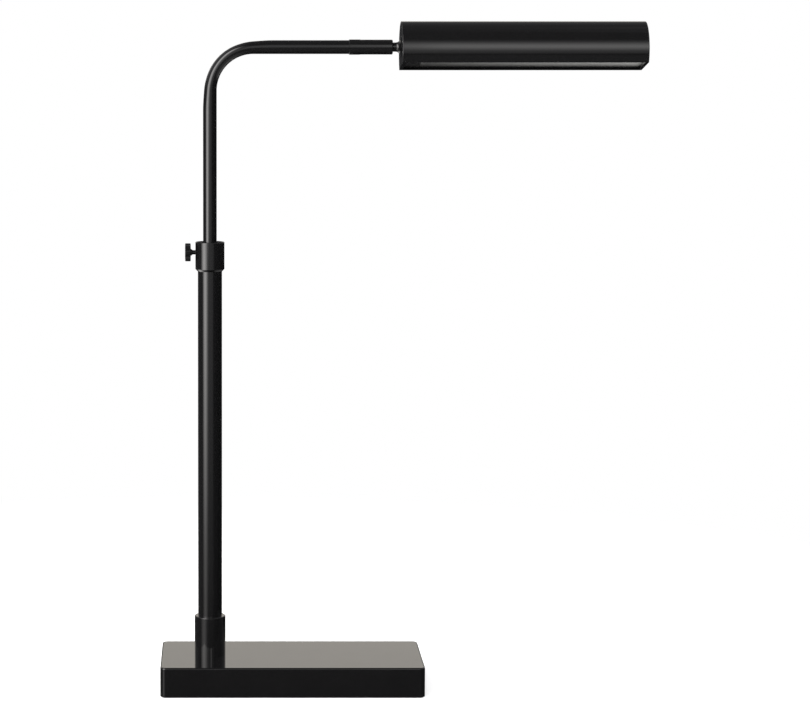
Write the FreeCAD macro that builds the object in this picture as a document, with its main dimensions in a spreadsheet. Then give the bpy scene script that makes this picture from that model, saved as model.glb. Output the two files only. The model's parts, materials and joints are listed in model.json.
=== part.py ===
import FreeCAD, Part

import os
import re

import Sketcher

# Piano lamp: a weighted base, a telescopic pole that stands near one end of it,
# a bent arm and a slotted tube shade with an LED strip.
# Origin on the pole's axis at the underside of the felt pad. +X runs to the shade,
# +Z up, and the user sits on the -Y side. Millimetres and degrees.

SIZES = [
    ("base_length", 242.6, "base along X"),
    ("base_depth", 107.5, "base along Y"),
    ("base_height", 28.1, "underside of the felt pad to the top of the base"),
    ("base_end", 45.4, "pole axis to the near end of the base"),
    ("base_corner_radius", 5.0, "upright corners of the base"),
    ("base_edge_radius", 1.4, "top edge of the base"),
    ("housing_wall", 1.5, "sheet of the base housing"),
    ("weight_height", 17.0, "cast slab inside the base"),
    ("weight_clearance", 0.4, "slab to the housing, all round"),
    ("weight_corner_radius", 4.0, "upright corners of the slab"),
    ("boss_radius", 6.0, "feet of the slab that take the plate screws"),
    ("boss_inset", 14.0, "foot centres from the sides of the base"),
    ("plate_thickness", 2.0, "bottom plate"),
    ("plate_clearance", 0.4, "bottom plate to the housing"),
    ("felt_thickness", 1.0, "felt pad"),
    ("felt_inset", 1.5, "felt pad inside the outline of the base"),
    ("thread_gap", 0.05, "radial gap of a screw in its thread"),
    ("seat_gap", 0.05, "radial gap of a tube in its collar"),
    ("running_gap", 0.05, "radial gap of what turns or slides"),
    ("small_screw_radius", 1.5, "M3 countersunk screws"),
    ("small_head_radius", 2.8, "their heads"),
    ("small_head_height", 1.3, "their countersinks"),
    ("plate_screw_length", 8.0, "bottom plate screws"),
    ("cap_screw_length", 10.0, "end cap screws"),
    ("set_screw_radius", 2.0, "M4 grub screws"),
    ("set_screw_socket", 1.15, "their hexagon sockets, over corners"),
    ("set_screw_sink", 0.3, "grub screw below the collar's surface"),
    ("foot_radius", 14.35, "foot collar"),
    ("foot_height", 37.4, "foot collar above the base"),
    ("foot_floor", 8.0, "solid bottom of the foot collar"),
    ("foot_edge", 0.8, "rounded top edge of the foot collar"),
    ("foot_screw_rise", 20.0, "grub screw of the foot collar above the base"),
    ("nipple_radius", 5.0, "M10 hollow nipple"),
    ("nipple_bore_radius", 3.5, "its bore for the cord"),
    ("nipple_stand", 2.0, "nipple above the foot collar's floor"),
    ("nipple_tail", 2.0, "nipple below its nut"),
    ("nipple_nut_width", 14.0, "nut across flats"),
    ("nipple_nut_height", 3.0, "nut"),
    ("nipple_washer_radius", 8.0, "toothed washer"),
    ("nipple_washer_thickness", 1.0, "toothed washer"),
    ("recess_radius", 11.0, "recess of the slab round the nut"),
    ("recess_depth", 9.0, "recess above the slab's underside"),
    ("channel_width", 14.0, "cord channel in the slab"),
    ("inlet_height", 11.5, "cord inlet above the ground"),
    ("inlet_radius", 3.25, "cord inlet's bore"),
    ("bushing_radius", 5.0, "inlet bushing in the wall"),
    ("bushing_catch_radius", 5.6, "catch behind the wall"),
    ("bushing_flange_radius", 6.5, "rim outside the wall"),
    ("bushing_flange_thickness", 1.5, "rim outside the wall"),
    ("bushing_catch_length", 4.0, "catch behind the wall"),
    ("bushing_edge", 0.5, "rounding of the inlet"),
    ("pole_height", 414.7, "ground to the top of the top collar"),
    ("outer_tube_radius", 11.1, "lower tube"),
    ("outer_tube_wall", 1.5, "lower tube"),
    ("collar_radius", 13.35, "top collar"),
    ("collar_height", 26.9, "top collar"),
    ("collar_sleeve", 10.0, "lower tube's engagement in the top collar"),
    ("collar_lid", 2.0, "thickness of the top collar's lid"),
    ("collar_lid_gap", 0.4, "lid to the arm tube"),
    ("collar_land", 0.25, "flat ring left under the chamfer"),
    ("collar_chamfer_height", 2.0, "chamfer at the bottom of the top collar"),
    ("collar_edge", 0.6, "top edge of the top collar"),
    ("collar_bush_radius", 10.2, "nylon bush in the top collar"),
    ("collar_screw_rise", 6.0, "grub screw above the bottom of the top collar"),
    ("clamp_drop", 9.6, "thumb screw below the top of the top collar"),
    ("clamp_screw_radius", 2.0, "M4 thumb screw"),
    ("clamp_pad_length", 2.4, "nylon tip of the thumb screw"),
    ("clamp_spigot_radius", 1.0, "stub that holds the tip"),
    ("clamp_spigot_length", 2.0, "stub that holds the tip"),
    ("knob_reach", 22.8, "pole axis to the outer face of the knob"),
    ("knob_radius", 8.3, "knob"),
    ("knob_thickness", 5.1, "knob"),
    ("knob_edge", 0.8, "rounded edges of the knob"),
    ("knob_neck_radius", 3.4, "root of the knob's boss"),
    ("knob_neck_length", 2.0, "boss of the knob"),
    ("knob_groove", 0.85, "side of each straight knurl groove"),
    ("knob_groove_count", 30, "knurl grooves"),
    ("arm_tube_radius", 6.25, "arm tube"),
    ("arm_tube_wall", 1.2, "arm tube"),
    ("arm_height", 592.9, "ground to the axis of the level arm"),
    ("arm_bend_radius", 45.2, "bend, to the tube's axis"),
    ("arm_reach", 166.7, "pole axis to the end of the arm's ferrule"),
    ("arm_travel_up", 120.0, "how far the arm pulls out"),
    ("arm_stop_gap", 0.5, "upper ring to the collar's bush at the end of the travel"),
    ("guide_length", 30.0, "nylon guide on the arm tube"),
    ("guide_edge", 0.8, "chamfers of the guide"),
    ("ring_radius", 8.4, "spring rings that hold the guide"),
    ("ring_thickness", 1.0, "spring rings"),
    ("ring_groove_depth", 0.4, "grooves of the rings"),
    ("ring_play", 0.1, "rings to the guide"),
    ("ring_opening", 5.0, "gap of the open rings"),
    ("arm_tube_tail", 3.0, "arm tube below the lower ring"),
    ("ferrule_length", 39.7, "ferrule at the end of the arm"),
    ("ferrule_radius", 6.75, "ferrule"),
    ("ferrule_band_radius", 6.95, "thicker band at its start"),
    ("ferrule_band_length", 10.0, "thicker band at its start"),
    ("ferrule_band_edge", 0.3, "edge of the band"),
    ("ferrule_engagement", 20.0, "arm tube inside the ferrule"),
    ("ferrule_chamber_radius", 5.6, "chamber round the swivel's head"),
    ("ferrule_floor", 3.0, "end wall that the swivel turns in"),
    ("ferrule_round", 0.9, "rounded end of the ferrule"),
    ("swivel_length", 7.45, "ferrule to the shade"),
    ("swivel_gap", 0.2, "ferrule to the swivel's hub"),
    ("stem_radius", 3.2, "hollow swivel stem"),
    ("stem_bore_radius", 2.0, "bore for the wires"),
    ("stem_head_radius", 5.2, "head inside the ferrule"),
    ("stem_head_thickness", 2.5, "head inside the ferrule"),
    ("stem_tail", 1.5, "stem past its nut"),
    ("friction_washer", 1.2, "washer that brakes the swivel"),
    ("hub_radius", 4.2, "hub of the swivel flange"),
    ("hub_edge", 0.3, "edge of the hub"),
    ("cove_radius", 4.5, "hollow curve from the hub to the flange"),
    ("flange_radius", 9.4, "swivel flange on the shade"),
    ("flange_rim", 0.4, "thickness of the flange's rim"),
    ("swivel_nut_width", 10.0, "nut inside the shade"),
    ("swivel_nut_height", 3.0, "nut inside the shade"),
    ("spring_washer", 0.8, "washer under that nut"),
    ("spring_washer_radius", 5.6, "washer under that nut"),
    ("shade_length", 222.8, "shade, over its end caps"),
    ("shade_radius", 26.45, "shade"),
    ("shade_wall", 1.2, "extruded wall"),
    ("shade_roll", 10.2, "shade turned towards the user"),
    ("opening_drop", 14.6, "centre of the round section to the lips"),
    ("swivel_rise", 3.05, "swivel axis above the centre of the section"),
    ("cap_thickness", 3.0, "end caps"),
    ("cap_edge", 0.5, "rounded rim of the end caps"),
    ("diffuser_recess", 3.2, "lips to the diffuser"),
    ("diffuser_thickness", 2.0, "diffuser and compartment cover"),
    ("diffuser_gap", 0.2, "ends of the diffuser"),
    ("slot_gap", 0.3, "edges of what slides into the extrusion"),
    ("slot_slack", 0.2, "slots above what slides into them"),
    ("rib_thickness", 1.0, "ribs of the extrusion"),
    ("rib_lap", 1.4, "ribs under the edges that they carry"),
    ("compartment_length", 18.2, "end face to the start of the diffuser"),
    ("tray_drop", 0.4, "underside of the tray below the centre of the section"),
    ("tray_thickness", 1.5, "aluminium tray"),
    ("tray_gap", 1.5, "swivel stem to the end of the tray"),
    ("port_radius", 2.9, "screw ports of the extrusion"),
    ("port_circle", 23.0, "centre of the section to the screw ports"),
    ("port_angle", 40.0, "screw ports above the level"),
    ("board_width", 16.0, "LED board"),
    ("board_thickness", 1.6, "LED board"),
    ("board_margin", 4.0, "LED board to the ends of the diffuser"),
    ("chip_size", 3.5, "LED chips"),
    ("chip_height", 0.8, "LED chips"),
    ("chip_count", 20, "LED chips"),
    ("driver_start", 30.0, "driver from the end of the shade"),
    ("driver_length", 80.0, "driver"),
    ("driver_width", 20.0, "driver"),
    ("driver_height", 12.0, "driver"),
    ("driver_round", 1.0, "upright corners of the driver"),
    ("switch_rise", 11.0, "switch above the centre of the section"),
    ("button_radius", 5.0, "push button"),
    ("button_gap", 0.1, "button in the end cap"),
    ("button_stand", 2.0, "button outside the end cap"),
    ("button_travel", 1.2, "button's stroke"),
    ("button_edge", 0.6, "rounded edge of the button"),
    ("button_flange", 1.2, "button's flange, radially"),
    ("button_flange_thickness", 1.0, "button's flange"),
    ("button_stem_radius", 2.0, "plunger of the button"),
    ("button_stem_length", 3.0, "plunger of the button"),
    ("button_stop_gap", 0.3, "left at the end of the stroke"),
    ("switch_wall", 1.5, "cup of the switch"),
    ("switch_length", 12.0, "switch body"),
]

WORKED_OUT = [
    ("base_near", "-base_end", "end of the base beside the pole"),
    ("base_far", "base_length - base_end", "far end of the base"),
    ("base_side", "base_depth / 2", "front and back of the base"),
    ("plate_top", "felt_thickness + plate_thickness", "top of the bottom plate"),
    ("ceiling", "base_height - housing_wall", "inside of the housing's top"),
    ("weight_bottom", "ceiling - weight_height", "underside of the slab"),
    ("recess_top", "weight_bottom + recess_depth", "seat of the toothed washer"),
    ("washer_bottom", "recess_top - nipple_washer_thickness", "toothed washer"),
    ("nut_bottom", "washer_bottom - nipple_nut_height", "nipple nut"),
    ("nipple_bottom", "nut_bottom - nipple_tail", "lower end of the nipple"),
    ("foot_top", "base_height + foot_height", "top of the foot collar"),
    ("tube_bottom", "base_height + foot_floor", "lower tube's seat"),
    ("collar_bottom", "pole_height - collar_height", "top collar"),
    ("tube_top", "collar_bottom + collar_sleeve", "upper end of the lower tube"),
    ("tube_seat_radius", "outer_tube_radius + seat_gap", "collar bores round the lower tube"),
    ("tube_bore_radius", "outer_tube_radius - outer_tube_wall", "bore of the lower tube"),
    ("clamp_height", "pole_height - clamp_drop", "thumb screw's axis"),
    ("clamp_hole_radius", "clamp_screw_radius + running_gap", "hole for the thumb screw"),
    ("clamp_face", "arm_tube_radius + running_gap", "nylon tip, from the pole axis"),
    ("clamp_tip", "clamp_face + clamp_pad_length", "end of the screw, from the pole axis"),
    ("knob_back", "knob_reach - knob_thickness", "inner face of the knob"),
    ("guide_top", "tube_top - arm_travel_up - arm_stop_gap - ring_play - ring_thickness",
     "guide in the photographed pose"),
    ("guide_bottom", "guide_top - guide_length", "guide in the photographed pose"),
    ("ring_under", "guide_bottom - ring_play - ring_thickness", "bottom of the lower ring"),
    ("ring_over", "guide_top + ring_play", "bottom of the upper ring"),
    ("arm_bottom", "ring_under - arm_tube_tail", "lower end of the arm tube"),
    ("bend_start", "arm_height - arm_bend_radius", "where the arm starts to bend"),
    ("ferrule_start", "arm_reach - ferrule_length", "start of the ferrule"),
    ("arm_tube_end", "ferrule_start + ferrule_engagement", "end of the arm tube"),
    ("ferrule_seat", "arm_reach - ferrule_floor", "inside of the ferrule's end wall"),
    ("head_front", "ferrule_seat - friction_washer", "swivel head's face"),
    ("shade_start", "arm_reach + swivel_length", "end face of the shade at the swivel"),
    ("spring_washer_end", "cap_thickness + spring_washer", "seat of the swivel nut"),
    ("swivel_nut_end", "spring_washer_end + swivel_nut_height", "end of the swivel nut"),
    ("shell_length", "shade_length - 2 * cap_thickness", "extrusion between its caps"),
    ("shade_bore", "shade_radius - shade_wall", "inside of the extrusion"),
    ("wall_middle", "shade_radius - shade_wall / 2", "middle of the extruded wall"),
    ("diffuser_under", "opening_drop - diffuser_recess", "diffuser's face, below the centre"),
    ("diffuser_over", "diffuser_under - diffuser_thickness", "its top, below the centre"),
    ("diffuser_half", "sqrt(shade_bore ^ 2 - diffuser_under ^ 2) - slot_gap", "half its width"),
    ("tray_over", "tray_thickness - tray_drop", "top of the tray"),
    ("tray_half", "sqrt(shade_bore ^ 2 - tray_over ^ 2) - slot_gap", "half the tray's width"),
    ("board_start", "compartment_length + board_margin", "start of the LED board"),
    ("board_end", "shade_length - cap_thickness - board_margin", "end of the LED board"),
    ("board_under", "tray_drop + board_thickness", "LED board's face, below the centre"),
    ("port_side", "port_circle * cos(port_angle)", "screw ports beside the centre"),
    ("port_rise", "port_circle * sin(port_angle)", "screw ports above the centre"),
    ("cap_inside", "shade_length - cap_thickness", "inside of the far end cap"),
    ("switch_bore", "button_radius + button_flange + slot_gap", "cup round the button's flange"),
    ("switch_floor", "cap_inside - button_flange_thickness - button_travel - button_stop_gap",
     "floor of the switch's cup"),
]

ALIASES = [row[0] for row in SIZES + WORKED_OUT]
DEEP = 3.0      # how far a cutting shape stands outside what it cuts

document = FreeCAD.newDocument("PianoLamp")
sheet = document.addObject("Spreadsheet::Sheet", "Sizes")
nodes = []


def fill_sheet():
    """Write the driving sizes as plain numbers, and what follows from them as formulas."""
    for row, (alias, number, meaning) in enumerate(SIZES, start=1):
        sheet.set("A%d" % row, meaning)
        sheet.set("B%d" % row, str(number))
        sheet.setAlias("B%d" % row, alias)
    for row, (alias, formula, meaning) in enumerate(WORKED_OUT, start=len(SIZES) + 1):
        sheet.set("A%d" % row, meaning)
        sheet.set("B%d" % row, "=" + formula)
        sheet.setAlias("B%d" % row, alias)
    document.recompute()


def linked(expression):
    """Point each size's name in an expression at its cell in the sheet."""
    def with_sheet(match):
        word = match.group(0)
        return "Sizes." + word if word in ALIASES else word
    return re.sub(r"[a-z_]+", with_sheet, expression)


def value(expression):
    return float(sheet.evalExpression(linked(expression)))


def bind(thing, **expressions):
    """Tie properties to the sheet. A double underscore stands for a dot."""
    for path, expression in expressions.items():
        thing.setExpression(path.replace("__", "."), linked(expression))


def place(thing, x="0", y="0", z="0"):
    bind(thing, Placement__Base__x=x, Placement__Base__y=y, Placement__Base__z=z)


def place_on_swivel(thing):
    """Shade frame with its X axis on the swivel: turned with the shade about that axis."""
    thing.Placement.Rotation = FreeCAD.Rotation(FreeCAD.Vector(-1, 0, 0), 10)
    bind(thing, Placement__Rotation__Angle="shade_roll")
    place(thing, "shade_start", "0", "arm_height")


def place_on_section(thing):
    """Shade frame with its X axis through the centre of the round section."""
    thing.Placement.Rotation = FreeCAD.Rotation(FreeCAD.Vector(-1, 0, 0), 10)
    bind(thing, Placement__Rotation__Angle="shade_roll")
    place(thing, "shade_start", "-swivel_rise * sin(shade_roll)",
          "arm_height - swivel_rise * cos(shade_roll)")


def new_body(label, is_node=True):
    body = document.addObject("PartDesign::Body", label)
    body.Label = label
    if is_node:
        nodes.append(body)
    return body


def origin_plane(body, role):
    return next(part for part in body.Origin.OriginFeatures if part.Role == role)


def new_sketch(body, role, lift="0"):
    """Sketch on one of the body's own planes, lifted along the plane's normal."""
    sketch = body.newObject("Sketcher::SketchObject", body.Name + "_sketch")
    sketch.AttachmentSupport = [(origin_plane(body, role), "")]
    sketch.MapMode = "FlatFace"
    if lift != "0":
        bind(sketch, AttachmentOffset__Base__z=lift)
    return sketch


def tie_point(sketch, segment, end, corner):
    """Fix one end of a segment at a corner, given as a pair of expressions."""
    for kind, expression in zip(("DistanceX", "DistanceY"), corner[:2]):
        index = sketch.addConstraint(
            Sketcher.Constraint(kind, -1, 1, segment, end, value(expression)))
        sketch.setExpression("Constraints[%d]" % index, linked(expression))


def arc_through(start, end, radius):
    """Arc of less than a half turn, and whether it runs against the clock.

    A positive radius has its centre on the left of the way from start to end."""
    chord = end - start
    left = FreeCAD.Vector(-chord.y, chord.x, 0) / chord.Length
    rise = max(radius ** 2 - (chord.Length / 2) ** 2, 0) ** 0.5
    centre = (start + end) / 2 + left * (rise if radius > 0 else -rise)
    circle = Part.Circle(centre, FreeCAD.Vector(0, 0, 1), abs(radius))
    first, last = (start, end) if radius > 0 else (end, start)
    return Part.ArcOfCircle(circle, circle.parameter(first), circle.parameter(last))


def draw_outline(sketch, corners, closed=True):
    """Draw lines and arcs from corner to corner.

    A corner is (across, up), or (across, up, radius) where an arc leads to the next one."""
    points = [FreeCAD.Vector(value(corner[0]), value(corner[1]), 0) for corner in corners]
    count = len(corners) if closed else len(corners) - 1
    starts, ends = [], []
    base = sketch.GeometryCount
    for index in range(count):
        corner, here = corners[index], points[index]
        there = points[(index + 1) % len(points)]
        if len(corner) == 3:
            radius = value(corner[2])
            sketch.addGeometry(arc_through(here, there, radius), False)
            starts.append(1 if radius > 0 else 2)
            ends.append(2 if radius > 0 else 1)
        else:
            sketch.addGeometry(Part.LineSegment(here, there), False)
            starts.append(1)
            ends.append(2)
    for index in range(count if closed else count - 1):
        after = (index + 1) % count
        sketch.addConstraint(Sketcher.Constraint(
            "Coincident", base + index, ends[index], base + after, starts[after]))
    for index in range(count):
        tie_point(sketch, base + index, starts[index], corners[index])
        if len(corners[index]) == 3:
            radius = corners[index][2].lstrip("-")
            number = sketch.addConstraint(
                Sketcher.Constraint("Radius", base + index, value(radius)))
            sketch.setExpression("Constraints[%d]" % number, linked(radius))
    if not closed:
        tie_point(sketch, base + count - 1, ends[-1], corners[-1])
    return sketch


def draw_circle(sketch, radius, across="0", up="0"):
    centre = FreeCAD.Vector(value(across), value(up), 0)
    circle = Part.Circle(centre, FreeCAD.Vector(0, 0, 1), value(radius))
    segment = sketch.addGeometry(circle, False)
    tie_point(sketch, segment, 3, (across, up))
    number = sketch.addConstraint(Sketcher.Constraint("Radius", segment, value(radius)))
    sketch.setExpression("Constraints[%d]" % number, linked(radius))
    return sketch


def rectangle(left, right, low, high):
    return [(left, low), (right, low), (right, high), (left, high)]


def rounded_rectangle(left, right, low, high, radius):
    """Corners of a rectangle whose corners are quarter circles."""
    return [
        (f"{left} + {radius}", low), (f"{right} - {radius}", low, radius),
        (right, f"{low} + {radius}"), (right, f"{high} - {radius}", radius),
        (f"{right} - {radius}", high), (f"{left} + {radius}", high, radius),
        (left, f"{high} - {radius}"), (left, f"{low} + {radius}", radius),
    ]


def revolve(body, axis, corners):
    """Turn an outline about an axis. Corners are (radius, z), or (x, radius) about X."""
    role = {"X": "XZ_Plane", "Y": "XY_Plane", "Z": "XZ_Plane"}[axis]
    sketch = draw_outline(new_sketch(body, role), corners)
    turned = body.newObject("PartDesign::Revolution", body.Name + "_revolution")
    turned.Profile = sketch
    turned.ReferenceAxis = (sketch, ["H_Axis" if axis == "X" else "V_Axis"])
    turned.Angle = 360
    sketch.Visibility = False
    return turned


def pad(body, sketch, length):
    feature = body.newObject("PartDesign::Pad", body.Name + "_pad")
    feature.Profile = sketch
    bind(feature, Length=length)
    return feature


def pocket(body, sketch, length, reversed_way=False):
    feature = body.newObject("PartDesign::Pocket", body.Name + "_pocket")
    feature.Profile = sketch
    feature.Reversed = reversed_way
    bind(feature, Length=length)
    return feature


AXIS_TURNS = {
    "X": FreeCAD.Rotation(FreeCAD.Vector(0, 1, 0), 90),
    "Y": FreeCAD.Rotation(FreeCAD.Vector(1, 0, 0), -90),
    "Z": FreeCAD.Rotation(),
}


def primitive(body, kind, axis, x, y, z, **sizes):
    """PartDesign primitive whose own Z axis lies along the named axis."""
    feature = body.newObject("PartDesign::" + kind, body.Name + "_" + kind.lower())
    feature.Placement.Rotation = AXIS_TURNS[axis]
    place(feature, x, y, z)
    bind(feature, **sizes)
    return feature


def bore(body, axis, radius, length, x="0", y="0", z="0"):
    return primitive(body, "SubtractiveCylinder", axis, x, y, z, Radius=radius, Height=length)


def box(body, kind, x0, x1, y0, y1, z0, z1):
    return primitive(body, kind, "Z", x0, y0, z0, Length=f"({x1}) - ({x0})",
                     Width=f"({y1}) - ({y0})", Height=f"({z1}) - ({z0})")


def group(label, members):
    """Loose pieces of one kind that share a node."""
    compound = document.addObject("Part::Compound", label)
    compound.Label = label
    compound.Links = members
    nodes.append(compound)
    return compound


def cone_hole(body, x, y, z, way):
    """Countersunk hole along X for a small screw. way is 1 or -1 from the head inwards."""
    depth = f"{way} * small_head_height"
    sketch = new_sketch(body, "XZ_Plane")
    draw_outline(sketch, [
        (x, z), (x, f"{z} + small_head_radius + thread_gap"),
        (f"{x} + {depth}", f"{z} + small_screw_radius + thread_gap"),
        (f"{x} + {way} * (cap_thickness + {DEEP})",
         f"{z} + small_screw_radius + thread_gap"),
        (f"{x} + {way} * (cap_thickness + {DEEP})", z)])
    bind(sketch, AttachmentOffset__Base__z=f"-({y})")
    cut = body.newObject("PartDesign::Groove", body.Name + "_screw_hole")
    cut.Profile = sketch
    cut.ReferenceAxis = (sketch, ["Edge5"])
    cut.Angle = 360
    return cut


def countersunk_screw(name, axis, start, way, length):
    """M3 countersunk screw. The head's face lies at start."""
    body = new_body(name, is_node=False)
    face, neck, tip = start, f"{start} + {way} * small_head_height", f"{start} + {way} * {length}"
    along = [(face, "0"), (face, "small_head_radius"), (neck, "small_screw_radius"),
             (tip, "small_screw_radius"), (tip, "0")]
    if axis == "Z":
        along = [(radius, height) for height, radius in along]
    revolve(body, axis, along)
    return body


def grub_screw(label, collar_radius, height):
    """Hexagon socket set screw at the back of a collar, down onto the lower tube."""
    body = new_body(label)
    outer = f"{collar_radius} - set_screw_sink"
    revolve(body, "Y", [
        ("0", "outer_tube_radius"), ("set_screw_radius - set_screw_sink", "outer_tube_radius"),
        ("set_screw_radius", "outer_tube_radius + set_screw_sink"),
        ("set_screw_radius", outer), ("0", outer)])
    primitive(body, "SubtractivePrism", "Y", "0", f"({outer} + outer_tube_radius) / 2", "0",
              Circumradius="set_screw_socket", Height=f"{DEEP}")
    place(body, z=height)
    return body


# The base, from the ground up

def make_felt_pad():
    body = new_body("felt_pad")
    outline = rounded_rectangle(
        "base_near + felt_inset", "base_far - felt_inset",
        "felt_inset - base_side", "base_side - felt_inset", "(base_corner_radius - felt_inset)")
    pad(body, draw_outline(new_sketch(body, "XY_Plane"), outline), "felt_thickness")


def plate_screw_places():
    """Centres of the four feet of the slab, where the bottom plate is screwed on."""
    for across in ("(base_near + boss_inset)", "(base_far - boss_inset)"):
        for side in ("(boss_inset - base_side)", "(base_side - boss_inset)"):
            yield across, side


def make_base_plate():
    body = new_body("base_plate")
    margin = "(housing_wall + plate_clearance)"
    outline = rounded_rectangle(
        f"base_near + {margin}", f"base_far - {margin}",
        f"{margin} - base_side", f"base_side - {margin}",
        "(base_corner_radius - housing_wall)")
    sketch = new_sketch(body, "XY_Plane", "felt_thickness")
    pad(body, draw_outline(sketch, outline), "plate_thickness")
    for across, side in plate_screw_places():
        primitive(body, "SubtractiveCone", "Z", across, side, "felt_thickness",
                  Radius1="small_head_radius + thread_gap",
                  Radius2="small_screw_radius + thread_gap", Height="small_head_height")
        bore(body, "Z", "small_screw_radius + thread_gap", "plate_thickness",
             across, side, "felt_thickness")


def make_plate_screws():
    screws = []
    for number, (across, side) in enumerate(plate_screw_places(), start=1):
        name = "plate_screw_%d" % number
        screw = countersunk_screw(name, "Z", "felt_thickness", 1, "plate_screw_length")
        place(screw, across, side)
        screws.append(screw)
    group("plate_screws", screws)


def make_base_weight():
    body = new_body("base_weight")
    margin = "(housing_wall + weight_clearance)"
    outline = rounded_rectangle(
        f"base_near + {margin}", f"base_far - {margin}",
        f"{margin} - base_side", f"base_side - {margin}", "weight_corner_radius")
    sketch = new_sketch(body, "XY_Plane", "weight_bottom")
    pad(body, draw_outline(sketch, outline), "weight_height")
    for across, side in plate_screw_places():
        primitive(body, "AdditiveCylinder", "Z", across, side, "plate_top",
                  Radius="boss_radius", Height="weight_bottom - plate_top")
        bore(body, "Z", "small_screw_radius + thread_gap", "plate_screw_length",
             across, side, "plate_top")
    bore(body, "Z", "recess_radius", f"recess_depth + {DEEP}", z=f"weight_bottom - {DEEP}")
    bore(body, "Z", "nipple_radius + thread_gap", "weight_height", z="weight_bottom")
    box(body, "SubtractiveBox", "-channel_width / 2", "channel_width / 2",
        "0", "base_side", f"weight_bottom - {DEEP}", "recess_top")


def make_base_housing():
    body = new_body("base_housing")
    outline = rounded_rectangle(
        "base_near", "base_far", "-base_side", "base_side", "base_corner_radius")
    sketch = new_sketch(body, "XY_Plane", "felt_thickness")
    shell = pad(body, draw_outline(sketch, outline), "base_height - felt_thickness")
    document.recompute()
    top = max(range(len(shell.Shape.Faces)),
              key=lambda number: shell.Shape.Faces[number].CenterOfMass.z)
    edge = body.newObject("PartDesign::Fillet", "base_housing_edge")
    edge.Base = (shell, ["Face%d" % (top + 1)])
    bind(edge, Radius="base_edge_radius")
    inside = rounded_rectangle(
        "base_near + housing_wall", "base_far - housing_wall",
        "housing_wall - base_side", "base_side - housing_wall",
        "(base_corner_radius - housing_wall)")
    sketch = new_sketch(body, "XY_Plane", "felt_thickness")
    pocket(body, draw_outline(sketch, inside), "ceiling - felt_thickness", reversed_way=True)
    bore(body, "Z", "nipple_radius + thread_gap", f"base_height + {DEEP}")
    bore(body, "Y", "bushing_radius + seat_gap", f"housing_wall + {DEEP}",
         y="base_side - housing_wall", z="inlet_height")


def make_cord_bushing():
    """Snap-in bushing in the back of the base, open for the cord."""
    body = new_body("cord_bushing")
    wall = "base_side - housing_wall - seat_gap"
    rim = "base_side + bushing_flange_thickness"
    revolve(body, "Y", [
        ("inlet_radius", f"{wall} - bushing_catch_length"),
        ("bushing_radius", f"{wall} - bushing_catch_length"),
        ("bushing_catch_radius", f"{wall} - bushing_edge"),
        ("bushing_catch_radius", wall),
        ("bushing_radius", wall),
        ("bushing_radius", "base_side"),
        ("bushing_flange_radius", "base_side"),
        ("bushing_flange_radius", f"{rim} - bushing_edge", "bushing_edge"),
        ("bushing_flange_radius - bushing_edge", rim),
        ("inlet_radius + bushing_edge", rim, "bushing_edge"),
        ("inlet_radius", f"{rim} - bushing_edge"),
    ])
    place(body, z="inlet_height")


# The pole

def make_pole_nipple():
    body = new_body("pole_nipple")
    top = "tube_bottom + nipple_stand"
    revolve(body, "Z", [
        ("nipple_bore_radius", "nipple_bottom"), ("nipple_radius", "nipple_bottom"),
        ("nipple_radius", top), ("nipple_bore_radius", top)])


def make_nipple_washer():
    body = new_body("nipple_washer")
    inner = "nipple_radius + thread_gap"
    revolve(body, "Z", [
        (inner, "washer_bottom"), ("nipple_washer_radius", "washer_bottom"),
        ("nipple_washer_radius", "recess_top"), (inner, "recess_top")])


def make_nipple_nut():
    body = new_body("nipple_nut")
    primitive(body, "AdditivePrism", "Z", "0", "0", "nut_bottom",
              Circumradius="nipple_nut_width / 2 / cos(30)", Height="nipple_nut_height")
    bore(body, "Z", "nipple_radius + thread_gap", "nipple_nut_height", z="nut_bottom")


def make_foot_collar():
    body = new_body("foot_collar")
    inner = "nipple_radius + thread_gap"
    revolve(body, "Z", [
        (inner, "base_height"), ("foot_radius", "base_height"),
        ("foot_radius", "foot_top - foot_edge", "foot_edge"),
        ("foot_radius - foot_edge", "foot_top"),
        ("tube_seat_radius", "foot_top"), ("tube_seat_radius", "tube_bottom"),
        (inner, "tube_bottom")])
    bore(body, "Y", "set_screw_radius + thread_gap", "foot_radius", z="base_height + foot_screw_rise")
    grub_screw("foot_set_screw", "foot_radius", "base_height + foot_screw_rise")


def make_outer_tube():
    body = new_body("outer_tube")
    revolve(body, "Z", [
        ("tube_bore_radius", "tube_bottom"), ("outer_tube_radius", "tube_bottom"),
        ("outer_tube_radius", "tube_top"), ("tube_bore_radius", "tube_top")])


def make_top_collar():
    """Turned collar: it sleeves the lower tube and guides and clamps the arm tube."""
    body = new_body("top_collar")
    lid_bore = "arm_tube_radius + collar_lid_gap"
    bush_bore = "collar_bush_radius + seat_gap"
    revolve(body, "Z", [
        ("tube_seat_radius", "collar_bottom"),
        ("tube_seat_radius + collar_land", "collar_bottom"),
        ("collar_radius", "collar_bottom + collar_chamfer_height"),
        ("collar_radius", "pole_height - collar_edge", "collar_edge"),
        ("collar_radius - collar_edge", "pole_height"),
        (lid_bore, "pole_height"), (lid_bore, "pole_height - collar_lid"),
        (bush_bore, "pole_height - collar_lid"), (bush_bore, "tube_top"),
        ("tube_seat_radius", "tube_top")])
    bore(body, "X", "clamp_hole_radius", f"collar_radius + {DEEP}",
         x=f"-collar_radius - {DEEP}", z="clamp_height")
    screw_height = "collar_bottom + collar_screw_rise"
    bore(body, "Y", "set_screw_radius + thread_gap", "collar_radius", z=screw_height)
    grub_screw("collar_set_screw", "collar_radius", screw_height)


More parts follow.
